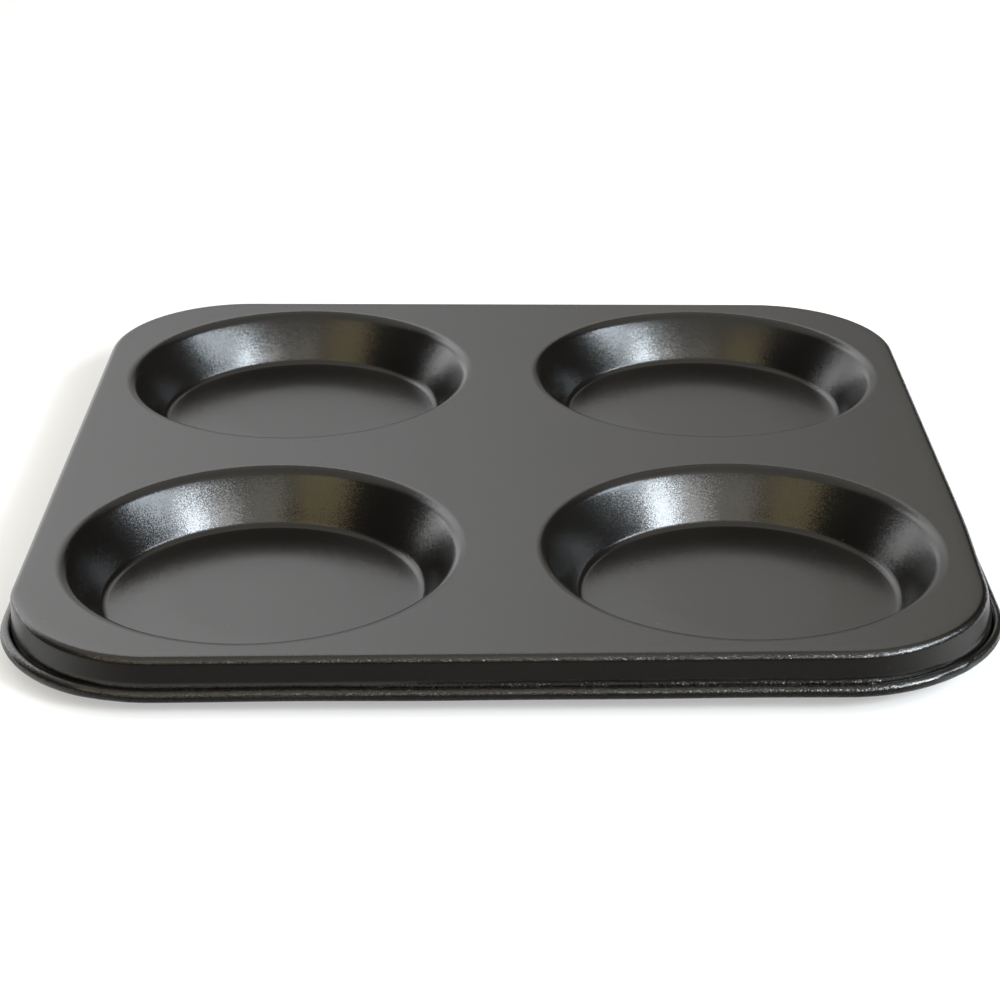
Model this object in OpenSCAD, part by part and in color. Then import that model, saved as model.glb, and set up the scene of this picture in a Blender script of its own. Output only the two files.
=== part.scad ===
// Four-cup yorkshire pudding pan: one sheet-steel pressing with a rolled rim
// closed round a steel wire. Units are millimetres. The origin is under the
// middle of the pan, on the surface that it stands on: +X is right, +Y is the
// back and +Z is up. The pressing is drawn zone by zone, and the zones meet
// face to face with no overlap.

/* [Sheet] */
// Thickness of the coated steel sheet
sheet = 0.6; // [0.4:0.1:0.9]

/* [Cups] */
// Diameter of a cup's mouth at the deck, where its rounded lip begins
mouth_diameter = 101.6; // [94:0.2:120]
// Diameter of a cup's flat floor, inside the fillet round it
floor_diameter = 77.4; // [60:0.2:84]
// Depth of a cup, from the deck's top face to the floor's top face
cup_depth = 13.4; // [11:0.1:25]
// Radius of the rounded lip, on the top face
lip_radius = 4; // [1.2:0.1:4.5]
// Radius of the fillet round the floor, on the top face
fillet_radius = 2.5; // [1:0.1:4]

/* [Deck] */
// Flat width left between the lips of neighbouring cups
cup_web = 17; // [8:0.1:30]
// Flat width left between a cup's lip and the bend into the skirt
deck_border = 5.8; // [2:0.1:15]

/* [Skirt and rim] */
// Corner radius of the skirt's outer face, seen from above
corner_radius = 39; // [20:1:50]
// Outer radius of the bend from the deck down into the skirt
bend_radius = 1.8; // [1.2:0.1:3.2]
// Drop from the deck's top face to the middle of the rolled rim
rim_drop = 8.2; // [6:0.1:10]
// Diameter of the steel wire inside the rolled rim
wire_diameter = 1.6; // [1.2:0.1:2.4]
// Radial clearance between the wire and the sheet rolled round it
wire_clearance = 0.05; // [0.02:0.01:0.1]
// Gap between the two ends of the wire, in the middle of the back side
wire_butt_gap = 0.5; // [0.2:0.1:2]
// Angle that the sheet is rolled through, from the foot of the skirt round the wire
roll_angle = 292; // [270:1:296]

/* [Hidden] */
$fn = 96;
quarter_turn = 90;
// Straight steps that a bend in a cup's section is drawn in
bend_steps = 10;
// Extra length that takes a cutting shape past the face that it cuts
overrun = 1;
coat_color = [0.20, 0.20, 0.195];
wire_color = [0.62, 0.63, 0.64];

// Heights above the surface that the pan stands on: the deck's top face and
// the middle of the rolled rim
deck_top = cup_depth + sheet;
rim_level = deck_top - rim_drop;

// The rolled rim: its inner and outer radius
roll_inner = wire_diameter / 2 + wire_clearance;
roll_outer = roll_inner + sheet;

// The centres of a cup's two roundings, and the slope from the horizontal of
// the straight wall that is tangent to both of them
lip_center = [mouth_diameter / 2, deck_top - lip_radius];
fillet_center = [floor_diameter / 2, sheet + fillet_radius];
between_centers = lip_center - fillet_center;
wall_slope = atan2(between_centers.y, between_centers.x)
             + asin((lip_radius + fillet_radius) / norm(between_centers));

// Plan sizes, each worked out from the one before: the distance between the
// centres of neighbouring cups, the flat deck, and the skirt's outer face
cup_pitch = mouth_diameter + cup_web;
deck_side = cup_pitch + mouth_diameter + 2 * deck_border;
skirt_side = deck_side + 2 * bend_radius;

// Points along a bend in a cup's section, from one angle to another
function bend_points(center, radius, from, to) = [
    for (step = [0:bend_steps])
        let (angle = from + (to - from) * step / bend_steps)
            center + radius * [cos(angle), sin(angle)]
];

// Section of a cup: its top face from the axis out over the floor, fillet, wall
// and lip to the deck, then its underside back to the axis
module cup_section() {
    floor_angle = -quarter_turn;
    lip_angle = quarter_turn;
    polygon(concat(
        [[0, sheet]],
        bend_points(fillet_center, fillet_radius, floor_angle, floor_angle + wall_slope),
        bend_points(lip_center, lip_radius, lip_angle + wall_slope, lip_angle),
        bend_points(lip_center, lip_radius - sheet, lip_angle, lip_angle + wall_slope),
        bend_points(fillet_center, fillet_radius + sheet, floor_angle + wall_slope, floor_angle),
        [[0, 0]]
    ));
}

// One cup, in the given quarter of the pan
module cup(side_x, side_y) {
    translate([side_x, side_y] * cup_pitch / 2)
        rotate_extrude() cup_section();
}

// A square with round corners, centred on the pan's axis
module round_square(side, radius) {
    square([side - 2 * radius, side], center = true);
    square([side, side - 2 * radius], center = true);
    for (side_x = [-1, 1], side_y = [-1, 1])
        translate([side_x, side_y] * (side / 2 - radius))
            circle(r = radius);
}

// Carries a section round the pan. The section's X runs outwards from the
// skirt's outer face, and its Y is the height above the standing surface.
module round_the_pan() {
    straight = skirt_side - 2 * corner_radius;
    for (turn = [0:3])
        rotate(turn * quarter_turn) {
            translate([skirt_side / 2, 0])
                rotate([quarter_turn, 0, 0])
                    linear_extrude(straight, center = true) children();
            translate([straight / 2, straight / 2])
                rotate_extrude(angle = quarter_turn)
                    translate([corner_radius, 0]) children();
        }
}

// Section of the bend and the skirt, down to the middle of the rolled rim
module skirt_section() {
    translate([-bend_radius, deck_top - bend_radius])
        intersection() {
            difference() {
                circle(r = bend_radius);
                circle(r = bend_radius - sheet);
            }
            square(bend_radius);
        }
    translate([-sheet, rim_level]) square([sheet, rim_drop - bend_radius]);
}

// Section of the sheet rolled outwards and over, round the wire
module roll_section() {
    far = 2 * roll_outer;
    open_from = roll_angle - 2 * quarter_turn;
    translate([roll_inner, rim_level])
        difference() {
            circle(r = roll_outer);
            circle(r = roll_inner);
            polygon([
                [0, 0],
                far * [cos(open_from), sin(open_from)],
                far * [-1, 1],
                [-far, 0]
            ]);
        }
}

// The flat top of the pan, with the four round openings of the cups
module deck() {
    color(coat_color)
        translate([0, 0, deck_top - sheet])
            linear_extrude(sheet)
                difference() {
                    round_square(deck_side, corner_radius - bend_radius);
                    for (side_x = [-1, 1], side_y = [-1, 1])
                        translate([side_x, side_y] * cup_pitch / 2)
                            circle(d = mouth_diameter);
                }
}

// The front left cup
module cup_front_left() {
    color(coat_color) cup(-1, -1);
}

// The front right cup
module cup_front_right() {
    color(coat_color) cup(1, -1);
}

// The back left cup
module cup_back_left() {
    color(coat_color) cup(-1, 1);
}

// The back right cup
module cup_back_right() {
    color(coat_color) cup(1, 1);
}

// The bend round the deck and the short upright skirt below it
module skirt() {
    color(coat_color) round_the_pan() skirt_section();
}

// The edge of the sheet, rolled round the wire below the skirt
module rolled_rim() {
    color(coat_color) round_the_pan() roll_section();
}

// The steel wire that stiffens the rim: one loop with butted ends
module rim_wire() {
    color(wire_color)
        difference() {
            round_the_pan()
                translate([roll_inner, rim_level]) circle(d = wire_diameter);
            translate([0, skirt_side / 2 + roll_inner, rim_level])
                cube([wire_butt_gap, wire_diameter + 2 * overrun, wire_diameter + 2 * overrun],
                     center = true);
        }
}

deck();
cup_front_left();
cup_front_right();
cup_back_left();
cup_back_right();
skirt();
rolled_rim();
rim_wire();
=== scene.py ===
"""Looks of a four-cup yorkshire pudding pan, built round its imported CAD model.

The pan is one sheet-steel pressing with a satin non-stick coat, and its edge is
rolled round a steel wire. Lengths are in metres, in the CAD's own frame: the pan
stands on z = 0, its middle is over the origin, +X is right, +Y is the back and
+Z is up.
"""

import logging
import math
from dataclasses import dataclass, field
from enum import Enum
from typing import Sequence

import bpy
import numpy as np
from mathutils import Matrix, Vector
from mathutils.geometry import delaunay_2d_cdt


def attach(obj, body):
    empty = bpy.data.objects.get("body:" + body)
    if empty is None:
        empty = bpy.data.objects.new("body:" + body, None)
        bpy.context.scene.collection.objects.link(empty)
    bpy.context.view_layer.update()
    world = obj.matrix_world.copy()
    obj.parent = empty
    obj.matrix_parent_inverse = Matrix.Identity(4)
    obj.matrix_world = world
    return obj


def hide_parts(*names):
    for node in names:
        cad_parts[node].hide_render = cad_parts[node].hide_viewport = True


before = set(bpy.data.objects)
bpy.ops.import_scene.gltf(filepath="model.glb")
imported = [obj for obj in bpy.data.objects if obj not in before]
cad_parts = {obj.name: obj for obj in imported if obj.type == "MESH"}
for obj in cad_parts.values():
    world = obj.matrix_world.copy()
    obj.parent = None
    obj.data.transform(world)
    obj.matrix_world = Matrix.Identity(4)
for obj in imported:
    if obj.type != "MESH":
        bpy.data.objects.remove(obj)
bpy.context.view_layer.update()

LOG = logging.getLogger("pudding_pan")
MM = 0.001
BODY = "root"
# Watts that a lamp of one square metre needs for a brightness of 1
LAMP_POWER = 4.0

Color = tuple[float, float, float]
Point = tuple[float, float]
Span = tuple[float, float]
Profile = list[Point]


class Corner(Enum):
    """The pan's corners, each with its side in X and in Y."""

    FRONT_LEFT = (-1, -1)
    FRONT_RIGHT = (1, -1)
    BACK_RIGHT = (1, 1)
    BACK_LEFT = (-1, 1)


def smooth_step(value: float, start: float, end: float) -> float:
    """Rises smoothly from 0 at start to 1 at end.

    Args:
        value: where the step is read.
        start: where it leaves 0.
        end: where it reaches 1.

    Returns:
        The height of the step, from 0 to 1.
    """
    share = min(max((value - start) / (end - start), 0.0), 1.0)
    return share * share * (3.0 - 2.0 * share)


def smooth_bump(value: float, middle: float, half: float) -> float:
    """A smooth hill of height 1 that reaches half its width each side of its middle."""
    return 1.0 - smooth_step(abs(value - middle), 0.0, half)


def arc(center: Point, radius: float, start: float, end: float, steps: int) -> Profile:
    """Points along a circular arc in a section, both ends among them.

    Args:
        center: the arc's centre.
        radius: its radius.
        start: the first angle, in degrees.
        end: the last angle, in degrees.
        steps: how many straight steps it is drawn in.

    Returns:
        The points in order.
    """
    angles = np.radians(np.linspace(start, end, steps + 1))
    return [
        (center[0] + radius * math.cos(a), center[1] + radius * math.sin(a))
        for a in angles
    ]


@dataclass(frozen=True)
class PanSizes:
    """The sizes that the CAD source gives the pan."""

    sheet: float = 0.6 * MM
    mouth_diameter: float = 101.6 * MM
    floor_diameter: float = 77.4 * MM
    cup_depth: float = 13.4 * MM
    lip_radius: float = 4.0 * MM
    fillet_radius: float = 2.5 * MM
    cup_web: float = 17.0 * MM
    deck_border: float = 5.8 * MM
    corner_radius: float = 39.0 * MM
    bend_radius: float = 1.8 * MM
    rim_drop: float = 8.2 * MM
    wire_diameter: float = 1.6 * MM
    wire_clearance: float = 0.05 * MM
    wire_butt_gap: float = 0.5 * MM
    roll_angle: float = 292.0

    @property
    def deck_top(self) -> float:
        """Height of the deck's top face."""
        return self.cup_depth + self.sheet

    @property
    def rim_level(self) -> float:
        """Height of the middle of the rolled rim."""
        return self.deck_top - self.rim_drop

    @property
    def cup_pitch(self) -> float:
        """Distance between the centres of neighbouring cups."""
        return self.mouth_diameter + self.cup_web

    @property
    def deck_side(self) -> float:
        """Side of the flat deck."""
        return self.cup_pitch + self.mouth_diameter + 2 * self.deck_border

    @property
    def skirt_side(self) -> float:
        """Side of the skirt's outer face."""
        return self.deck_side + 2 * self.bend_radius

    @property
    def roll_inner(self) -> float:
        """Inner radius of the rolled rim."""
        return self.wire_diameter / 2 + self.wire_clearance

    @property
    def roll_outer(self) -> float:
        """Outer radius of the rolled rim."""
        return self.roll_inner + self.sheet

    @property
    def wall_slope(self) -> float:
        """Slope of a cup's wall from the horizontal.

        Returns:
            The slope in degrees.
        """
        run = (self.mouth_diameter - self.floor_diameter) / 2
        rise = self.cup_depth - self.lip_radius - self.fillet_radius
        lean = math.atan2(rise, run)
        both = self.lip_radius + self.fillet_radius
        return math.degrees(lean + math.asin(both / math.hypot(run, rise)))

    def cup_center(self, corner: Corner) -> Point:
        """Where the axis of one cup stands."""
        return tuple(side * self.cup_pitch / 2 for side in corner.value)

    def from_cup(self, x: float, y: float) -> float:
        """How far a point lies from the axis of the nearest cup."""
        return math.hypot(abs(x) - self.cup_pitch / 2, abs(y) - self.cup_pitch / 2)


@dataclass(frozen=True)
class Kink:
    """One pucker that the curling tool leaves in the rim of a round corner.

    The place is counted along the corner's arc, from 0 where it begins to 1
    where it ends, going anticlockwise seen from above.
    """

    place: float
    half_width: float
    outwards: float
    upwards: float = 0.0


@dataclass(frozen=True)
class CornerCurl:
    """How the rim is curled round one corner, where the roll turns loose and wide.

    Places are counted along the corner's arc, as for a kink. The roll leaves
    the skirt between the two places of opens and comes back between the two of
    closes.
    """

    corner: Corner
    stand_off: float
    swell: float
    opens: Span
    closes: Span
    kinks: tuple[Kink, ...] = ()

    def looseness(self, turn: float) -> float:
        """How loose the roll is at one place, from 0 to 1."""
        return smooth_step(turn, *self.opens) * (1 - smooth_step(turn, *self.closes))


@dataclass(frozen=True)
class Station:
    """One place along the rim: a point of the skirt's outer face seen from above."""

    x: float
    y: float
    out_x: float
    out_y: float
    along: float
    corner: Corner | None
    turn: float


@dataclass
class RimPath:
    """The rounded square that the bend, the skirt and the rolled rim follow."""

    sizes: PanSizes
    corner_steps: int = 56
    side_steps: int = 64

    def stations(self) -> list[Station]:
        """The places of the rim, anticlockwise from the middle of the back side.

        Returns:
            One station for each step. The last doesn't repeat the first.
        """
        half = self.sizes.skirt_side / 2
        radius = self.sizes.corner_radius
        straight = half - radius
        quarter = math.pi / 2
        order = (Corner.BACK_LEFT, Corner.FRONT_LEFT, Corner.FRONT_RIGHT, Corner.BACK_RIGHT, None)
        places: list[Station] = []
        along, heading = 0.0, quarter
        start = middle_of_back = np.array([0.0, half])
        for corner in order:
            out = np.array([math.cos(heading), math.sin(heading)])
            forward = np.array([-out[1], out[0]])
            center = np.array(corner.value, float) * straight if corner else middle_of_back
            end = center + radius * out if corner else middle_of_back
            length = float(np.linalg.norm(end - start))
            steps = round(self.side_steps * length / (2 * straight))
            for step in range(steps):
                share = step / steps
                point = start + forward * length * share
                places.append(Station(*point, *out, along + length * share, None, 0.0))
            along += length
            for step in range(self.corner_steps if corner else 0):
                turn = step / self.corner_steps
                angle = heading + turn * quarter
                out = np.array([math.cos(angle), math.sin(angle)])
                point = center + radius * out
                places.append(Station(*point, *out, along + radius * quarter * turn, corner, turn))
            along += radius * quarter
            heading += quarter
            start = center + radius * np.array([math.cos(heading), math.sin(heading)])
        return places


@dataclass(frozen=True)
class RimShift:
    """How the rim differs at one station from the section that the CAD gives it."""

    stand_off: float
    swell: float
    tuck: float
    lift: float
    crease: float


@dataclass
class RimForm:
    """The small departures of a real curled edge from its ideal section.

    The tuck and the crease grow between two places in X, and the crease's depth
    swings by a share of it as it goes round.
    """

    sizes: PanSizes
    ripple: float = 0.05 * MM
    ripple_waves: tuple[Point, ...] = ((5.0, 0.4), (9.0, 2.1), (17.0, 4.0))
    snug: float = 0.03 * MM
    least_gap: float = 0.02 * MM
    front_tuck: float = 1.3 * MM
    tuck_left: Span = (79 * MM, 96 * MM)
    tuck_right: Span = (40 * MM, 88 * MM)
    crease_depth: float = 0.22 * MM
    crease_reach: Span = (-40 * MM, 10 * MM)
    crease_swing: float = 0.25
    crease_waves: float = 46.0
    curls: tuple[CornerCurl, ...] = (
        CornerCurl(
            Corner.FRONT_LEFT, 0.30 * MM, 0.15 * MM, (0.0, 0.20), (0.64, 0.86),
            (Kink(0.72, 0.06, 0.20 * MM, 0.10 * MM), Kink(0.80, 0.05, -0.12 * MM, -0.08 * MM)),
        ),
        CornerCurl(
            Corner.FRONT_RIGHT, 0.20 * MM, 0.0, (0.42, 0.78), (0.86, 1.0),
            (Kink(0.34, 0.06, 0.28 * MM, 0.22 * MM), Kink(0.48, 0.05, 0.28 * MM, 0.20 * MM)),
        ),
        CornerCurl(
            Corner.BACK_LEFT, 0.45 * MM, 0.10 * MM, (0.05, 0.30), (0.62, 0.95),
            (Kink(0.35, 0.07, 0.15 * MM), Kink(0.66, 0.06, 0.12 * MM)),
        ),
        CornerCurl(
            Corner.BACK_RIGHT, 0.35 * MM, 0.10 * MM, (0.05, 0.35), (0.65, 0.95),
            (Kink(0.30, 0.06, 0.14 * MM), Kink(0.58, 0.07, 0.16 * MM)),
        ),
    )

    def perimeter(self) -> float:
        """Length of the way round the skirt."""
        straight = self.sizes.skirt_side - 2 * self.sizes.corner_radius
        return 4 * straight + 2 * math.pi * self.sizes.corner_radius

    def at(self, station: Station) -> RimShift:
        """The departures at one station.

        Args:
            station: the place along the rim.

        Returns:
            How far the roll stands off and swells there, how far the skirt's
            top is tucked in, the roll's lift and the crease's depth.
        """
        turn = 2 * math.pi * station.along / self.perimeter()
        lift = self.ripple * sum(
            math.sin(waves * turn + phase) for waves, phase in self.ripple_waves
        )
        off, swell = self.snug, 0.0
        for curl in self.curls:
            if station.corner is not curl.corner:
                continue
            loose = curl.looseness(station.turn)
            off += curl.stand_off * loose
            swell += curl.swell * loose
            for kink in curl.kinks:
                hill = smooth_bump(station.turn, kink.place, kink.half_width)
                off += kink.outwards * hill
                lift += kink.upwards * hill
        front = max(0.0, -station.out_y)
        crease = self.crease_depth * front
        crease *= smooth_step(station.x, *self.crease_reach)
        crease *= 1 - self.crease_swing * (1 - math.sin(self.crease_waves * turn))
        reach = self.tuck_left if station.x < 0 else self.tuck_right
        tuck = self.front_tuck * smooth_step(-station.y, *reach)
        return RimShift(max(off, self.least_gap), swell, tuck, lift, crease)


@dataclass
class Twist:
    """The slight saddle that a light pressed pan takes when it cools."""

    sizes: PanSizes
    at_corner: float = 0.75 * MM

    def lift(self, x: float, y: float) -> float:
        """How far a point of the deck lies above the ideal one."""
        half = self.sizes.skirt_side / 2
        return -self.at_corner * (x / half) * (y / half)

    def normal(self, x: float, y: float) -> Vector:
        """The direction that the deck faces at one point."""
        scale = self.at_corner / (self.sizes.skirt_side / 2) ** 2
        return Vector((scale * y, scale * x, 1.0)).normalized()


@dataclass
class SheetMesh:
    """Collects the points and faces of a skin, with the grain of its coat and a specular scale that on the
    rim carries painted highlights and painted shade.
    """

    points: list[tuple[float, float, float]] = field(default_factory=list)
    faces: list[tuple[int, ...]] = field(default_factory=list)
    flat_normals: dict[int, Vector] = field(default_factory=dict)
    grain: list[float] = field(default_factory=list)
    # Specular scale per point; on the rim it carries painted highlights and painted shade.
    gloss_with_painted_light: list[float] = field(default_factory=list)

    def add(self, point: Sequence[float], grain: float = 0.0, gloss_with_painted_light: float = 1.0) -> int:
        """Adds one point.

        Args:
            point: where it lies.
            grain: how strong the coat's grain is there.
            gloss_with_painted_light: how glossy the coat is there, where 1 is plain; on the rim it also
                carries painted highlights and painted shade.

        Returns:
            The point's number.
        """
        self.points.append(tuple(point))
        self.grain.append(grain)
        self.gloss_with_painted_light.append(gloss_with_painted_light)
        return len(self.points) - 1

    def bridge(self, first: Sequence[int], second: Sequence[int]) -> None:
        """Joins two closed rows of the same length with four-sided faces.

        Args:
            first: the first row of point numbers.
            second: the row beside it.
        """
        for here in range(len(first)):
            after = (here + 1) % len(first)
            self.faces.append((first[here], first[after], second[after], second[here]))

    def fan(self, hub: int, ring: Sequence[int]) -> None:
        """Closes a ring on its hub with triangles."""
        for here, corner in enumerate(ring):
            self.faces.append((hub, corner, ring[(here + 1) % len(ring)]))

    def make(self, name: str) -> bpy.types.Object:
        """Makes the object, smooth shaded, with its flat zones' normals exact.

        Args:
            name: the piece's name.

        Returns:
            The new object, linked to the scene.
        """
        mesh = bpy.data.meshes.new(name)
        mesh.from_pydata(self.points, [], self.faces)
        for zone, values in (("grain", self.grain), ("gloss_with_painted_light", self.gloss_with_painted_light)):
            mesh.attributes.new(zone, "FLOAT", "POINT").data.foreach_set("value", values)
        mesh.validate()
        mesh.shade_smooth()
        mesh.update()
        if self.flat_normals:
            normals = [vertex.normal.copy() for vertex in mesh.vertices]
            for number, normal in self.flat_normals.items():
                normals[number] = normal
            mesh.normals_split_custom_set_from_vertices(normals)
        piece = bpy.data.objects.new(name, mesh)
        bpy.context.scene.collection.objects.link(piece)
        return piece


@dataclass(frozen=True)
class RimCoat:
    """How the coat's grain varies over the bend, the skirt and the roll, and the painted light set there
    in its specular level: a painted highlight on the bend and roll, painted shade in the reflections of
    the upper skirt and the roll's underside, and at the front corners a painted highlight that lessens
    that shade.

    Facing runs from -1 at the back of the pan to 1 at its front. Heights are
    counted from the standing surface, and edges from the level that they soften.
    """

    sizes: PanSizes
    grain: float = 2.9
    corner_grain: float = 0.35
    front_facing: Span = (0.90, 0.99)
    # Specular level of the bend and roll against the deck's: a painted highlight.
    painted_highlight_gloss: float = 1.3
    # Specular level left on the upper skirt and the roll's underside where they face the front: painted
    # shade in what they reflect, lowest on the right side.
    skirt_painted_shade_gloss: float = 0.13
    side_painted_shade_gloss: float = 0.04
    side_facing: Span = (0.35, 0.70)
    painted_shade_left: Span = (-0.1, 0.6)
    painted_shade_right: Span = (-0.9, -0.3)
    # Painted highlight: the painted shade is lessened where the rim faces the front corners.
    corner_painted_highlight: float = 0.6
    corner_facing: float = 0.78
    corner_reach: float = 0.3
    smooth_heights: Span = (7.40 * MM, 8.10 * MM)
    painted_shade_heights: Span = (7.70 * MM, 8.30 * MM)
    bend_edge: Span = (0.35 * MM, 0.85 * MM)
    deck_edge: Span = (-0.35 * MM, -0.10 * MM)
    roll_edge: Span = (0.35 * MM, 0.65 * MM)

    def past(self, height: float, level: float, edge: Span) -> float:
        """How far a height lies past the soft edge at a level, from 0 to 1."""
        return smooth_step(height - level, *edge)

    def at(self, height: float, facing: float, left: bool) -> Point:
        """Grain and specular level at one point of the rim, with the painted light that the level carries.

        Args:
            height: the point's height on the section.
            facing: how far the rim faces the front there.
            left: whether the point lies in the pan's left half.

        Returns:
            The strength of the grain, and the specular level where 1 is plain, which carries the painted
            highlight and the painted shade.
        """
        sizes = self.sizes
        deck = self.past(height, sizes.deck_top, self.deck_edge)
        below_bend = 1 - self.past(height, sizes.deck_top - sizes.bend_radius, self.bend_edge)
        under_roll = 1 - self.past(height, sizes.rim_level, self.roll_edge)
        smooth = below_bend * smooth_step(height, *self.smooth_heights)
        skirt = below_bend * smooth_step(height, *self.painted_shade_heights)
        # Painted shade in the reflections of the upper skirt and the roll's underside, set by which way
        # the rim faces and lessened at the front corners as a painted highlight.
        dull_and_painted_shade = max(skirt, under_roll)
        dull_and_painted_shade *= smooth_step(facing, *(self.painted_shade_left if left else self.painted_shade_right))
        dull_and_painted_shade *= 1 - self.corner_painted_highlight * smooth_bump(facing, self.corner_facing, self.corner_reach)
        front = smooth_step(facing, *self.front_facing)
        grain = self.grain * (self.corner_grain + (1 - self.corner_grain) * front)
        side = 0.0 if left else 1 - smooth_step(facing, *self.side_facing)
        shaded_gloss = self.skirt_painted_shade_gloss + (self.side_painted_shade_gloss - self.skirt_painted_shade_gloss) * side
        # Painted highlight: the bend and the roll reflect more than the deck.
        painted_highlight_gloss = 1 + (self.painted_highlight_gloss - 1) * (1 - deck)
        return grain * (1 - smooth) * (1 - deck), painted_highlight_gloss * (1 - (1 - shaded_gloss) * dull_and_painted_shade)


@dataclass
class Pressing:
    """The whole coated sheet: deck, four cups, skirt and rolled rim in one skin.

    Angles round the roll are in degrees, and start from the foot of the skirt at
    180. The cut edge is rounded by a share of the sheet's thickness, and the grain
    begins and ends at shares of a cup's depth.
    """

    sizes: PanSizes
    path: RimPath
    form: RimForm
    twist: Twist
    coat: RimCoat
    cup_steps: int = 180
    bend_steps: int = 10
    wall_steps: int = 8
    wall_crown: float = 2.5
    floor_crown: float = 0.32 * MM
    crown_from: float = 0.50
    wall_grain: float = 0.58
    skirt_steps: int = 12
    roll_steps: int = 30
    deck_grid: float = 6.0 * MM
    crease_level: float = 7.75 * MM
    crease_height: float = 0.35 * MM
    shoulder_width: float = 3.0 * MM
    shoulder_slope: float = 2.5
    shoulder_steps: int = 4
    edge_nick: float = 0.12
    edge_turn: float = 1.0
    stand_off_turn: Span = (215.0, 325.0)
    swell_turn: Span = (200.0, 300.0)
    crease_turn: Span = (180.0, 240.0)
    lift_turn: Span = (180.0, 270.0)
    grain_begins: Span = (0.0, 0.10)
    grain_ends: Span = (0.80, 1.0)
    merge_within: float = 1e-9

    def cup_profile(self, under: bool) -> Profile:
        """Section of a cup's face from its floor out to the deck.

        Args:
            under: the underside and not the top face.

        Returns:
            Points as radius and height.
        """
        sizes = self.sizes
        slope = sizes.wall_slope
        fillet = (sizes.floor_diameter / 2, sizes.sheet + sizes.fillet_radius)
        lip = (sizes.mouth_diameter / 2, sizes.deck_top - sizes.lip_radius)
        grow = sizes.sheet if under else 0.0
        floor = fillet[1] - sizes.fillet_radius - grow
        rings = [(fillet[0] * self.crown_from / 2, floor + self.floor_crown)]
        for share in np.linspace(self.crown_from, 1.0, self.bend_steps + 1)[:-1]:
            rise = self.floor_crown * (1 - smooth_step(share, self.crown_from, 1.0))
            rings.append((fillet[0] * share, floor + rise))
        steep, shallow = slope + self.wall_crown, slope - self.wall_crown
        low = arc(fillet, sizes.fillet_radius + grow, -90, -90 + steep, self.bend_steps)
        high = arc(lip, sizes.lip_radius - grow, 90 + shallow, 90, self.bend_steps)
        run, rise = high[0][0] - low[-1][0], high[0][1] - low[-1][1]
        swell = math.tan(math.radians(self.wall_crown))
        wall = []
        for share in np.linspace(0, 1, self.wall_steps + 1)[1:-1]:
            bulge = swell * share * (1 - share)
            out, up = share * run - bulge * rise, share * rise + bulge * run
            wall.append((low[-1][0] + out, low[-1][1] + up))
        return rings + low + wall + high

    def rim_profile(self, shift: RimShift) -> tuple[Profile, Profile]:
        """Section of the bend, skirt and rolled edge at one station.

        Args:
            shift: how the rim departs from its ideal section there.

        Returns:
            The top face from the deck to the cut edge, and the underside from
            the cut edge back to the deck. X runs outwards from the skirt.
        """
        sizes = self.sizes
        foot = sizes.rim_level
        end = 180.0 + sizes.roll_angle
        draft = math.atan2(shift.tuck, sizes.rim_drop - sizes.bend_radius)
        fall = math.tan(math.radians(self.shoulder_slope)) * self.shoulder_width / 2
        bend = (-sizes.bend_radius - shift.tuck, sizes.deck_top - fall - sizes.bend_radius)
        first, last = 90.0 - self.shoulder_slope, math.degrees(draft)
        outer = arc(bend, sizes.bend_radius, first, last, self.bend_steps)
        inner = arc(bend, sizes.bend_radius - sizes.sheet, last, first, self.bend_steps)
        start_x, start_z = outer[0]
        shoulder = [
            (start_x - share * self.shoulder_width, start_z + fall * (1 - (1 - share) ** 2))
            for share in np.linspace(1.0, 0.0, self.shoulder_steps + 1)[:-1]
        ]
        shoulder_in = [(x, z - sizes.sheet) for x, z in reversed(shoulder)]
        top_of_skirt, skirt_start = outer[-1][1], outer[-1][0]
        heights = np.linspace(top_of_skirt, foot, self.skirt_steps + 1)[1:-1]
        crease_top = self.crease_level + self.crease_height / 2
        for place in (crease_top, crease_top - self.crease_height):
            heights[np.argmin(np.abs(heights - place))] = place
        heights = np.sort(heights)[::-1]

        def skirt_face(height: float) -> float:
            """How far out the skirt's face lies at a height, with its crease over the roll."""
            lean = skirt_start * (height - foot) / (top_of_skirt - foot)
            return lean + shift.crease * smooth_step(crease_top - height, 0.0, self.crease_height)

        def rolled(angle: float, radius: float) -> Point:
            """A point of the roll, which stands off further past its lowest point.

            Args:
                angle: how far round the roll it lies.
                radius: its distance from the roll's middle, before the swell.

            Returns:
                The point of the section.
            """
            off = shift.stand_off * smooth_step(angle, *self.stand_off_turn)
            off += shift.crease * (1 - smooth_step(angle, *self.crease_turn))
            size = radius + shift.swell * smooth_step(angle, *self.swell_turn)
            lift = shift.lift * smooth_step(angle, *self.lift_turn)
            turn = math.radians(angle)
            return (sizes.roll_inner + size * math.cos(turn) + off, foot + size * math.sin(turn) + lift)

        skirt_out = [(skirt_face(h), h) for h in heights]
        skirt_in = [(x - sizes.sheet, h) for x, h in reversed(skirt_out)]
        angles = np.linspace(180.0, end, self.roll_steps + 1)
        nick = self.edge_nick * sizes.sheet
        roll_in = [rolled(a, sizes.roll_inner) for a in angles]
        roll_out = [rolled(a, sizes.roll_outer) for a in reversed(angles)]
        edge_in = rolled(end + self.edge_turn, sizes.roll_inner + nick)
        edge_out = rolled(end + self.edge_turn, sizes.roll_outer - nick)
        top = shoulder + outer + skirt_out + roll_in + [edge_in]
        return top, [edge_out] + roll_out + skirt_in + inner + shoulder_in

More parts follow.
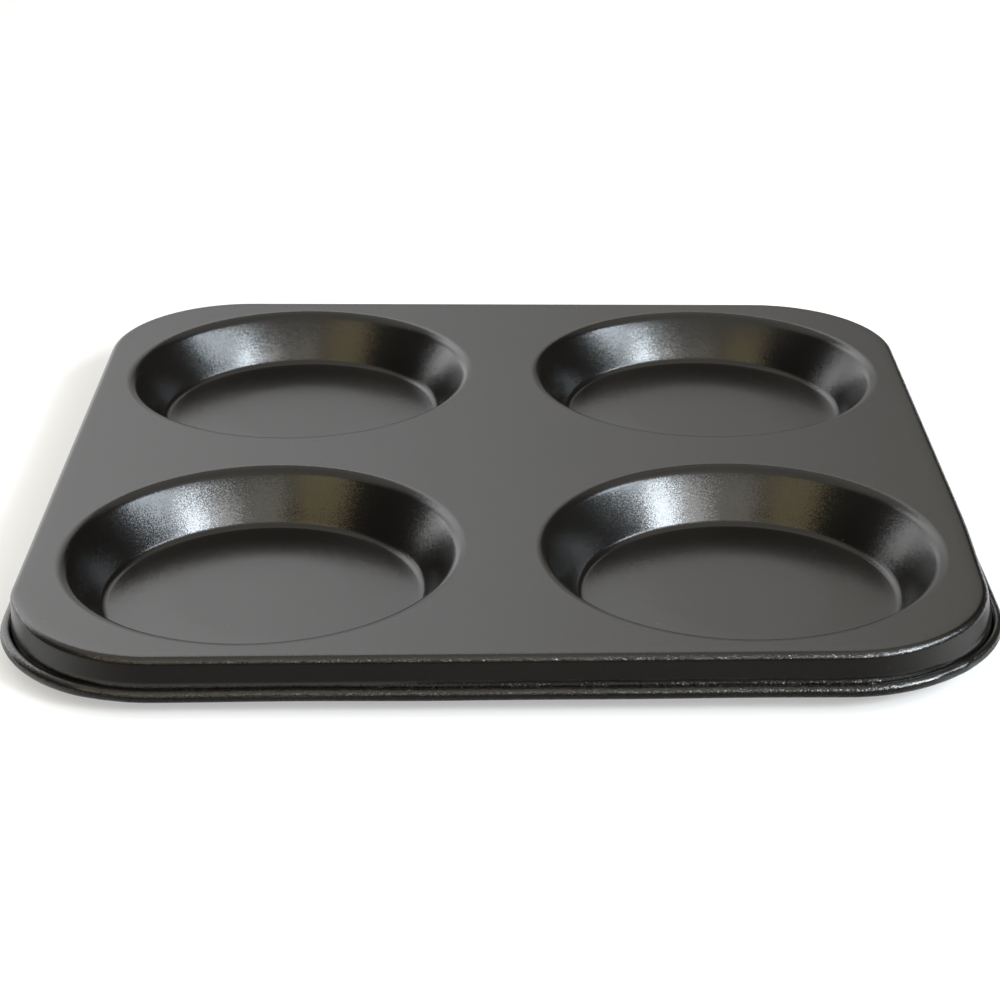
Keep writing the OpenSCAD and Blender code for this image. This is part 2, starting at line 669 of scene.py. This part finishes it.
    def add_cup(self, skin: SheetMesh, corner: Corner, under: bool) -> list[int]:
        """Adds one face of a cup.

        Args:
            skin: the mesh being collected.
            corner: which cup.
            under: the underside and not the top face.

        Returns:
            The ring of point numbers where the cup meets the flat deck.
        """
        center = np.array(self.sizes.cup_center(corner))
        turns = np.linspace(0, 2 * math.pi, self.cup_steps, endpoint=False)
        profile = self.cup_profile(under)
        floor, middle = min(height for _, height in profile), profile[0][1]
        up = Vector((0, 0, -1 if under else 1))
        hub = skin.add((*center, middle))
        skin.flat_normals[hub] = up
        rings: list[list[int]] = []
        for radius, height in profile:
            ring = []
            share = (height - floor) / self.sizes.cup_depth
            grain = smooth_step(share, *self.grain_begins) * (1 - smooth_step(share, *self.grain_ends))
            grain *= self.wall_grain
            for turn in turns:
                x, y = center + radius * np.array([math.cos(turn), math.sin(turn)])
                ring.append(skin.add((x, y, height + share * self.twist.lift(x, y)), grain))
            if height == middle:
                skin.flat_normals.update({number: up for number in ring})
            rings.append(ring)
        for number in rings[-1]:
            x, y, _ = skin.points[number]
            skin.flat_normals[number] = self.twist.normal(x, y) * up.z
        skin.fan(hub, rings[0][::-1] if under else rings[0])
        for inner, outer in zip(rings, rings[1:]):
            skin.bridge(*((inner, outer) if under else (outer, inner)))
        return rings[-1]

    def add_rim(self, skin: SheetMesh, stations: Sequence[Station]) -> tuple[list[int], list[int]]:
        """Adds the bend, the skirt and the rolled edge all round the pan.

        Args:
            skin: the mesh being collected.
            stations: the places along the rim.

        Returns:
            The rings where the rim meets the deck's top face and its underside.
        """
        columns: list[list[int]] = []
        for station in stations:
            top, under = self.rim_profile(self.form.at(station))
            column = []
            for out, height in top + under:
                x = station.x + out * station.out_x
                y = station.y + out * station.out_y
                point = (x, y, height + self.twist.lift(x, y))
                column.append(skin.add(point, *self.coat.at(height, -station.out_y, x < 0)))
            columns.append(column)
        rows = [list(row) for row in zip(*columns)]
        for first, second in zip(rows, rows[1:]):
            skin.bridge(second, first)
        for row, sign in ((rows[0], 1), (rows[-1], -1)):
            for number in row:
                x, y, _ = skin.points[number]
                skin.flat_normals[number] = self.twist.normal(x, y) * sign
        return rows[0], rows[-1]

    def add_deck(self, skin: SheetMesh, rings: Sequence[Sequence[int]], under: bool) -> None:
        """Fills the flat deck between the rim and the four mouths.

        Args:
            skin: the mesh being collected.
            rings: where the rim and each cup's mouth meet this face.
            under: the underside and not the top face.
        """
        sizes = self.sizes
        numbers: list[int] = []
        edges: list[tuple[int, int]] = []
        for ring in rings:
            first = len(numbers)
            numbers += ring
            edges += [(first + n, first + (n + 1) % len(ring)) for n in range(len(ring))]
        height = sizes.deck_top - (sizes.sheet if under else 0.0)
        sign = -1 if under else 1
        reach = int(sizes.deck_side / 2 / self.deck_grid)
        for column in range(-reach, reach + 1):
            for row in range(-reach, reach + 1):
                x, y = column * self.deck_grid, row * self.deck_grid
                if not self.on_deck(x, y):
                    continue
                number = skin.add((x, y, height + self.twist.lift(x, y)))
                skin.flat_normals[number] = self.twist.normal(x, y) * sign
                numbers.append(number)
        flat = [Vector(skin.points[number][:2]) for number in numbers]
        made = delaunay_2d_cdt(flat, edges, [], 0, self.merge_within)
        back = [numbers[origin[0]] for origin in made[3]]
        for triangle in made[2]:
            middle = sum((made[0][corner] for corner in triangle), Vector((0, 0))) / len(triangle)
            if sizes.from_cup(*middle) < sizes.mouth_diameter / 2:
                continue
            corners = [back[corner] for corner in triangle]
            a, b, c = (Vector(skin.points[corner]) for corner in corners)
            if ((b - a).cross(c - a).z > 0) == under:
                corners.reverse()
            skin.faces.append(tuple(corners))

    def on_deck(self, x: float, y: float) -> bool:
        """Whether a point lies on the flat deck, half a step of the grid clear of its edges.

        Args:
            x: the point's place in X.
            y: the point's place in Y.

        Returns:
            True if it does.
        """
        clear = self.deck_grid / 2
        edge = clear + self.shoulder_width + self.form.front_tuck
        half = self.sizes.deck_side / 2 - edge
        radius = self.sizes.corner_radius - self.sizes.bend_radius - edge
        in_x, in_y = abs(x) - (half - radius), abs(y) - (half - radius)
        if max(abs(x), abs(y)) > half or (in_x > 0 and in_y > 0 and math.hypot(in_x, in_y) > radius):
            return False
        return self.sizes.from_cup(x, y) > self.sizes.mouth_diameter / 2 + clear

    def build(self) -> bpy.types.Object:
        """Builds the pressing as one closed skin.

        Returns:
            The pan's sheet, in place.
        """
        skin = SheetMesh()
        rim_top, rim_under = self.add_rim(skin, self.path.stations())
        for rim, under in ((rim_top, False), (rim_under, True)):
            mouths = [self.add_cup(skin, corner, under) for corner in Corner]
            self.add_deck(skin, [rim, *mouths], under)
        return skin.make("pan_shell")

    def dress(self, piece: bpy.types.Object, finish: "CoatFinish") -> None:
        """Coats the pressing and puts it in place of the CAD zones that it covers.

        Args:
            piece: the pan's sheet.
            finish: its coat.
        """
        piece.data.materials.append(finish.material())
        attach(piece, BODY)
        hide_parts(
            "deck", "cup_front_left", "cup_front_right", "cup_back_left",
            "cup_back_right", "skirt", "rolled_rim",
        )


@dataclass
class RimWire:
    """The steel wire in the rolled rim: one loop with butted ends at the back."""

    sizes: PanSizes
    path: RimPath
    form: RimForm
    twist: Twist
    round_steps: int = 20
    end_chamfer: float = 0.15 * MM

    def build(self) -> bpy.types.Object:
        """Builds the loop along the rim, with a small chamfer at each cut end.

        Returns:
            The wire, in place.
        """
        radius = self.sizes.wire_diameter / 2
        tip = radius - self.end_chamfer
        inset = Vector((self.end_chamfer, 0, 0))
        half_gap = Vector((self.sizes.wire_butt_gap / 2, 0, 0))
        (middle, back), *spots = [self.spot(station) for station in self.path.stations()]
        start, end = middle - half_gap, middle + half_gap
        course = [(start, back, tip), (start - inset, back, radius)]
        course += [(center, out, radius) for center, out in spots]
        course += [(end + inset, back, radius), (end, back, tip)]
        skin = SheetMesh()
        rings = []
        for center, out, size in course:
            ring = []
            for step in range(self.round_steps):
                turn = 2 * math.pi * step / self.round_steps
                toward = math.cos(turn) * out + math.sin(turn) * Vector((0, 0, 1))
                ring.append(skin.add(center + size * toward))
            rings.append(ring)
        for before, after in zip(rings, rings[1:]):
            skin.bridge(after, before)
        skin.fan(skin.add(start), rings[0])
        skin.fan(skin.add(end), rings[-1][::-1])
        return skin.make("rim_wire_loop")

    def spot(self, station: Station) -> tuple[Vector, Vector]:
        """Where the wire runs at one station.

        Args:
            station: the place along the rim.

        Returns:
            The wire's centre, and the way out from it.
        """
        shift = self.form.at(station)
        reach = self.sizes.roll_inner + shift.stand_off
        x, y = station.x + reach * station.out_x, station.y + reach * station.out_y
        height = self.sizes.rim_level + shift.lift + self.twist.lift(x, y)
        return Vector((x, y, height)), Vector((station.out_x, station.out_y, 0))

    def dress(self, piece: bpy.types.Object, finish: "WireFinish") -> None:
        """Gives the wire its finish and puts it in place of the CAD wire.

        Args:
            piece: the wire.
            finish: its finish.
        """
        piece.data.materials.append(finish.material())
        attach(piece, BODY)
        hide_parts("rim_wire")


class NodeSheet:
    """A short way to write the node tree of a material or of the surroundings."""

    # Sockets of a Mix node that hold its two colours and its result
    FIRST_COLOR, SECOND_COLOR, MIXED_COLOR = 6, 7, 2

    def __init__(self, block: bpy.types.Material | bpy.types.World) -> None:
        """Starts an empty tree with its output node.

        Args:
            block: the material or world that the tree belongs to.
        """
        block.use_nodes = True
        self.block = block
        self.tree = block.node_tree
        self.tree.nodes.clear()
        ending = "World" if isinstance(block, bpy.types.World) else "Material"
        self.output = self.tree.nodes.new("ShaderNodeOutput" + ending)

    def node(
        self, kind: str, inputs: dict[str | int, object] | None = None, **settings: object,
    ) -> bpy.types.Node:
        """Adds a node.

        Args:
            kind: the node's type, without its ShaderNode prefix.
            inputs: values or sockets for its inputs, by name or number.
            settings: its own settings, by name.

        Returns:
            The new node.
        """
        made = self.tree.nodes.new("ShaderNode" + kind)
        for name, value in settings.items():
            setattr(made, name, value)
        for name, value in (inputs or {}).items():
            self.put(made.inputs[name], value)
        return made

    def put(self, socket: bpy.types.NodeSocket, value: object) -> None:
        """Gives a socket a value, or links another socket to it.

        Args:
            socket: the input.
            value: its value, or the socket to link.
        """
        if isinstance(value, bpy.types.NodeSocket):
            self.tree.links.new(value, socket)
        else:
            socket.default_value = value

    def math(self, operation: str, first: object, second: object = 0.0) -> bpy.types.NodeSocket:
        """Works out one sum of two numbers or sockets."""
        return self.node("Math", {0: first, 1: second}, operation=operation).outputs[0]

    def spread(
        self, value: object, low: float, high: float, to_low: float = 0.0, to_high: float = 1.0,
    ) -> bpy.types.NodeSocket:
        """Maps a number from one range to another and holds it there."""
        ranges = {"From Min": low, "From Max": high, "To Min": to_low, "To Max": to_high}
        return self.node("MapRange", {"Value": value, **ranges}).outputs["Result"]

    def blend(self, factor: object, first: object, second: object) -> bpy.types.NodeSocket:
        """Mixes two colours, where the factor is the second one's share."""
        inputs = {"Factor": factor, self.FIRST_COLOR: first, self.SECOND_COLOR: second}
        return self.node("Mix", inputs, data_type="RGBA").outputs[self.MIXED_COLOR]

    def noise(self, place: bpy.types.NodeSocket, size: float, detail: float = 2.0) -> bpy.types.NodeSocket:
        """A soft noise whose features are about one size across, in metres."""
        made = self.node("TexNoise", {"Vector": place, "Scale": 1.0 / size, "Detail": detail})
        return made.outputs["Fac"]


def opaque(color: Color) -> tuple[float, float, float, float]:
    """A colour with full opacity."""
    return (*color, 1.0)


@dataclass(frozen=True)
class CoatFinish:
    """The satin non-stick coat: a near-black film with a fine baked-on grain.

    Its clouding, grain and specks are read from noises, whose spans say between
    which values of the noise the change happens. Roughness is 0 for a mirror.
    """

    dark: Color = (0.0028, 0.0022, 0.0017)
    light: Color = (0.0050, 0.0041, 0.0033)
    dust: Color = (0.16, 0.15, 0.14)
    refraction: float = 1.5
    roughness: Span = (0.24, 0.28)
    roughness_span: Span = (0.25, 0.75)
    cloud_size: float = 38.0 * MM
    cloud_span: Span = (0.3, 0.7)
    peel_size: float = 3.2 * MM
    peel_depth: float = 0.006 * MM
    flat_smoother: float = 0.05
    grain_size: float = 0.36 * MM
    grain_tilt: float = 0.44
    flat_grain_tilt: float = 0.13
    dust_pitch: float = 4.4 * MM
    dust_edge: Span = (0.02, 0.055)
    dust_above: float = 0.72
    dust_strength: float = 0.55
    plain_gloss: float = 0.5
    noise_middle: Color = (0.5, 0.5, 0.5)

    def material(self) -> bpy.types.Material:
        """Builds the coat's node material.

        Returns:
            The material.
        """
        sheet = NodeSheet(bpy.data.materials.new("nonstick_coat"))
        place = sheet.node("TexCoord").outputs["Object"]
        cloud = sheet.noise(place, self.cloud_size, 3.0)
        peel = sheet.noise(place, self.peel_size, 1.0)
        grain = sheet.node("TexNoise", {"Vector": place, "Scale": 1.0 / self.grain_size, "Detail": 1.0})
        dust_cells = sheet.node("TexVoronoi", {"Vector": place, "Scale": 1.0 / self.dust_pitch})
        dust_near = sheet.spread(dust_cells.outputs["Distance"], *self.dust_edge, 1.0, 0.0)
        dust_some = sheet.math("GREATER_THAN", dust_cells.outputs["Color"], self.dust_above)
        dust = sheet.math("MULTIPLY", dust_near, dust_some)
        base = sheet.blend(sheet.spread(cloud, *self.cloud_span), opaque(self.dark), opaque(self.light))
        color = sheet.blend(sheet.math("MULTIPLY", dust, self.dust_strength), base, opaque(self.dust))
        rough = sheet.spread(cloud, *self.roughness_span, *self.roughness)
        zone = sheet.node("Attribute", attribute_name="grain").outputs["Fac"]
        # The coat's specular level is scaled by a per-point attribute, which on the rim carries painted
        # highlights and painted shade.
        gloss_with_painted_light = sheet.node("Attribute", attribute_name="gloss_with_painted_light").outputs["Fac"]
        rough = sheet.math("SUBTRACT", rough, sheet.spread(zone, 0.0, 1.0, self.flat_smoother, 0.0))
        strength = sheet.math("MULTIPLY", zone, self.grain_tilt)
        strength = sheet.math("MAXIMUM", strength, self.flat_grain_tilt)
        centred = {0: grain.outputs["Color"], 1: self.noise_middle}
        tilt = sheet.node("VectorMath", centred, operation="SUBTRACT")
        tilt = sheet.node("VectorMath", {0: tilt.outputs[0], "Scale": strength}, operation="SCALE")
        facing = sheet.node("NewGeometry").outputs["Normal"]
        leaned = sheet.node("VectorMath", {0: facing, 1: tilt.outputs[0]}, operation="ADD")
        leaned = sheet.node("VectorMath", {0: leaned.outputs[0]}, operation="NORMALIZE")
        waves = sheet.node("Bump", {
            "Height": peel, "Distance": self.peel_depth, "Normal": leaned.outputs[0],
        })
        shader = sheet.node("BsdfPrincipled", {
            "Base Color": color, "Roughness": rough, "IOR": self.refraction,
            "Specular IOR Level": sheet.math("MULTIPLY", gloss_with_painted_light, self.plain_gloss),
            "Normal": waves.outputs[0],
        })
        sheet.put(sheet.output.inputs["Surface"], shader.outputs[0])
        return sheet.block


@dataclass(frozen=True)
class WireFinish:
    """Drawn steel wire: bright, with fine scratches along it and a dull bloom."""

    bright: Color = (0.56, 0.56, 0.57)
    dull_and_painted_shade: Color = (0.33, 0.32, 0.31)
    bloom_size: float = 6.0 * MM
    bloom_span: Span = (0.35, 0.65)
    roughness: Span = (0.28, 0.48)
    scratch_size: float = 0.25 * MM
    scratch_span: Span = (0.3, 0.7)
    scratch_depth: float = 0.004 * MM

    def material(self) -> bpy.types.Material:
        """Builds the wire's node material.

        Returns:
            The material.
        """
        sheet = NodeSheet(bpy.data.materials.new("drawn_steel_wire"))
        place = sheet.node("TexCoord").outputs["Object"]
        bloom = sheet.noise(place, self.bloom_size, 3.0)
        scratch = sheet.noise(place, self.scratch_size, 3.0)
        color = sheet.blend(sheet.spread(bloom, *self.bloom_span), opaque(self.dull_and_painted_shade), opaque(self.bright))
        rough = sheet.spread(scratch, *self.scratch_span, *self.roughness)
        bump = sheet.node("Bump", {"Height": scratch, "Distance": self.scratch_depth})
        shader = sheet.node("BsdfPrincipled", {
            "Base Color": color, "Metallic": 1.0, "Roughness": rough, "Normal": bump.outputs[0],
        })
        sheet.put(sheet.output.inputs["Surface"], shader.outputs[0])
        return sheet.block


@dataclass(frozen=True)
class FloorFinish:
    """A pale matt floor, white to the eye and in reflections, with its shadow kept."""

    pale: Color = (0.55, 0.55, 0.55)
    lift: float = 0.42
    mottle_size: float = 60.0 * MM
    mottle_depth: float = 0.03

    def material(self) -> bpy.types.Material:
        """Builds the floor's node material.

        Returns:
            The material.
        """
        sheet = NodeSheet(bpy.data.materials.new("pale_floor"))
        place = sheet.node("TexCoord").outputs["Object"]
        mottle = sheet.noise(place, self.mottle_size, 2.0)
        darker = tuple((1 - self.mottle_depth) * part for part in self.pale)
        color = sheet.blend(mottle, opaque(darker), opaque(self.pale))
        matt = sheet.node("BsdfDiffuse", {"Color": color})
        rays = sheet.node("LightPath")
        seen = sheet.math("MAXIMUM", rays.outputs["Is Camera Ray"], rays.outputs["Is Glossy Ray"])
        seen = sheet.math("MAXIMUM", seen, rays.outputs["Is Transmission Ray"])
        glow = sheet.node("Emission", {
            "Color": opaque((1, 1, 1)), "Strength": sheet.math("MULTIPLY", seen, self.lift),
        })
        both = sheet.node("AddShader", {0: matt.outputs[0], 1: glow.outputs[0]})
        sheet.put(sheet.output.inputs["Surface"], both.outputs[0])
        return sheet.block


def outwards(azimuth: float, elevation: float) -> Vector:
    """The way out from the pan at two angles in degrees, counted as for a lamp."""
    turn, rise = math.radians(azimuth), math.radians(elevation)
    return Vector((math.sin(turn) * math.cos(rise), -math.cos(turn) * math.cos(rise), math.sin(rise)))


@dataclass(frozen=True)
class Softbox:
    """One rectangular lamp, aimed at the middle of the pan.

    Azimuth is counted from the front towards the right, and elevation from the
    floor up, both in degrees. Level is its brightness, where white is 1.
    """

    name: str
    azimuth: float
    elevation: float
    width: float
    height: float
    level: float
    color: Color = (1.0, 1.0, 1.0)
    distance: float = 2.0

    def place(self) -> None:
        """Adds the lamp to the scene."""
        lamp = bpy.data.lights.new(self.name, "AREA")
        lamp.shape = "RECTANGLE"
        lamp.size, lamp.size_y = self.width, self.height
        lamp.color = self.color
        lamp.energy = self.level * LAMP_POWER * self.width * self.height
        holder = bpy.data.objects.new(self.name, lamp)
        away = outwards(self.azimuth, self.elevation)
        holder.location = away * self.distance
        holder.rotation_mode = "QUATERNION"
        holder.rotation_quaternion = (-away).to_track_quat("-Z", "Y")
        bpy.context.scene.collection.objects.link(holder)


@dataclass(frozen=True)
class ViewPoint:
    """Where the photograph was taken from: angles in degrees, the lens in millimetres."""

    elevation: float = 24.752
    azimuth: float = 0.213
    roll: float = -0.274
    distance: float = 597.125 * MM
    target: tuple[float, float, float] = (-0.341 * MM, -31.901 * MM, 14.0 * MM)
    lens: float = 83.215
    sensor: float = 36.0
    clip: Span = (0.01, 50.0)

    def place(self) -> None:
        """Adds the camera and makes it the scene's own."""
        roll = math.radians(self.roll)
        back = outwards(self.azimuth, self.elevation)
        right = (-back).cross(Vector((0, 0, 1))).normalized()
        up = right.cross(-back)
        across = math.cos(roll) * right + math.sin(roll) * up
        upright = -math.sin(roll) * right + math.cos(roll) * up
        lens = bpy.data.cameras.new("camera")
        lens.lens, lens.sensor_width = self.lens, self.sensor
        lens.clip_start, lens.clip_end = self.clip
        holder = bpy.data.objects.new("camera", lens)
        turned = Matrix((across, upright, back)).transposed().to_4x4()
        turned.translation = Vector(self.target) + back * self.distance
        holder.matrix_world = turned
        bpy.context.scene.collection.objects.link(holder)
        bpy.context.scene.camera = holder


@dataclass(frozen=True)
class Room:
    """The plain room round the pan, dim but for a pale wall behind it and its ceiling.

    Places in the room are parts of a direction of length 1: X to the right, Y to
    the back and Z up. The wall grows brighter to the left and with height, up to
    its upper edge, and ends a little to the right of the middle. The ceiling lies
    above it, and is a little brighter towards the front.
    """

    level: float = 0.08
    level_right: float = 0.045
    color: Color = (1.0, 0.98, 0.96)
    wall_left: Color = (1.0, 1.0, 1.0)
    wall_right: Color = (1.0, 0.97, 0.86)
    wall_starts: Span = (0.38, 0.62)
    sides: Span = (-0.5, 0.30)
    left_right: Span = (1.94, 0.32)
    tint_sides: Span = (0.0, 0.32)
    low_corner: Span = (-0.08, -0.30)
    corner_share: float = 0.85
    low_high: Span = (0.50, 2.16)
    heights: Span = (0.315, 0.60)
    upper_edge: Span = (0.59, 0.66)
    right_edge: Span = (0.25, 0.33)
    ceiling: float = 0.75
    ceiling_front: float = 0.85
    ceiling_edge: Span = (0.64, 0.80)
    ceiling_sides: Span = (0.0, -0.35)
    ceiling_color: Color = (1.0, 0.96, 0.86)

    def surround(self) -> bpy.types.World:
        """Builds the room's node tree.

        Returns:
            The world to light the pan with.
        """
        sheet = NodeSheet(bpy.data.worlds.new("plain_room"))
        way = sheet.node("TexCoord").outputs["Generated"]
        x, y, z = sheet.node("SeparateXYZ", {0: way}).outputs
        behind = sheet.spread(y, *self.wall_starts)
        side = sheet.spread(x, *self.sides, *self.left_right)
        tint = sheet.spread(x, *self.tint_sides)
        rise = sheet.spread(z, *self.heights, *self.low_high)
        corner = sheet.spread(x, *self.low_corner, 0.0, self.corner_share)
        rise = sheet.math("MAXIMUM", rise, corner)
        top = sheet.spread(z, *self.upper_edge, 1.0, 0.0)
        right = sheet.spread(x, *self.right_edge, 1.0, 0.0)
        wall = behind
        for share in (side, rise, top, right):
            wall = sheet.math("MULTIPLY", wall, share)
        dim = sheet.spread(x, *self.right_edge, self.level, self.level_right)
        room = sheet.node("Background", {"Color": opaque(self.color), "Strength": dim})
        paint = sheet.blend(tint, opaque(self.wall_left), opaque(self.wall_right))
        bright = sheet.node("Background", {"Color": paint, "Strength": wall})
        over = sheet.spread(y, *self.ceiling_sides, self.ceiling, self.ceiling_front)
        over = sheet.math("MULTIPLY", over, sheet.spread(z, *self.ceiling_edge))
        ceiling = sheet.node("Background", {"Color": opaque(self.ceiling_color), "Strength": over})
        both = sheet.node("AddShader", {0: room.outputs[0], 1: bright.outputs[0]})
        both = sheet.node("AddShader", {0: both.outputs[0], 1: ceiling.outputs[0]})
        sheet.put(sheet.output.inputs["Surface"], both.outputs[0])
        return sheet.block


@dataclass
class Studio:
    """The pale floor, the soft lamps, the room and the camera."""

    floor: FloorFinish = field(default_factory=FloorFinish)
    view: ViewPoint = field(default_factory=ViewPoint)
    room: Room = field(default_factory=Room)
    floor_reach: float = 5.0
    floor_gap: float = 0.05 * MM
    lamps: tuple[Softbox, ...] = (
        Softbox("window_core", 52.0, 31.0, 0.56, 0.44, 36.5, (0.85, 0.935, 1.0)),
        Softbox("window_top", 60.0, 41.0, 0.85, 0.24, 8.4, (0.84, 0.93, 1.0)),
        Softbox("window_side", 84.0, 36.5, 0.80, 0.34, 12.5, (0.82, 0.92, 1.0)),
        Softbox("window_near", 29.0, 34.0, 0.62, 0.50, 7.0, (1.0, 0.99, 0.96)),
        Softbox("neutral_panel", -1.0, 37.0, 0.76, 0.62, 2.15, (1.0, 0.95, 0.80)),
        Softbox("warm_panel", -40.0, 38.0, 1.03, 0.74, 1.55, (1.0, 0.82, 0.44)),
        Softbox("side_left", -124.0, 14.0, 0.62, 0.42, 1.5),
    )

    def lay_floor(self) -> bpy.types.Object:
        """Lays the floor just under the cups.

        Returns:
            The floor, which is no part of the pan.
        """
        skin = SheetMesh()
        skin.faces.append(tuple(
            skin.add((x * self.floor_reach, y * self.floor_reach, -self.floor_gap))
            for x, y in (corner.value for corner in Corner)
        ))
        piece = skin.make("studio_floor")
        piece.data.materials.append(self.floor.material())
        return piece

    def light(self) -> None:
        """Sets the lamps and the room."""
        for lamp in self.lamps:
            lamp.place()
        bpy.context.scene.world = self.room.surround()

    def build(self) -> None:
        """Sets up the whole studio."""
        self.lay_floor()
        self.light()
        self.view.place()
        bpy.context.scene.view_settings.view_transform = "Standard"


def report(piece: bpy.types.Object) -> None:
    """Logs how large a finished piece is and how many faces it has."""
    size = [round(side / MM, 2) for side in piece.dimensions]
    LOG.info("%s: %s mm, %d faces", piece.name, size, len(piece.data.polygons))


def main() -> None:
    """Builds and dresses the pan, piece by piece, and sets up the studio."""
    logging.basicConfig(level=logging.INFO, format="%(name)s: %(message)s")
    sizes = PanSizes()
    path = RimPath(sizes)
    form = RimForm(sizes)
    twist = Twist(sizes)
    for maker, finish in (
        (Pressing(sizes, path, form, twist, RimCoat(sizes)), CoatFinish()),
        (RimWire(sizes, path, form, twist), WireFinish()),
    ):
        piece = maker.build()
        maker.dress(piece, finish)
        report(piece)
    Studio().build()
    bpy.context.view_layer.update()


if __name__ == "__main__":
    main()
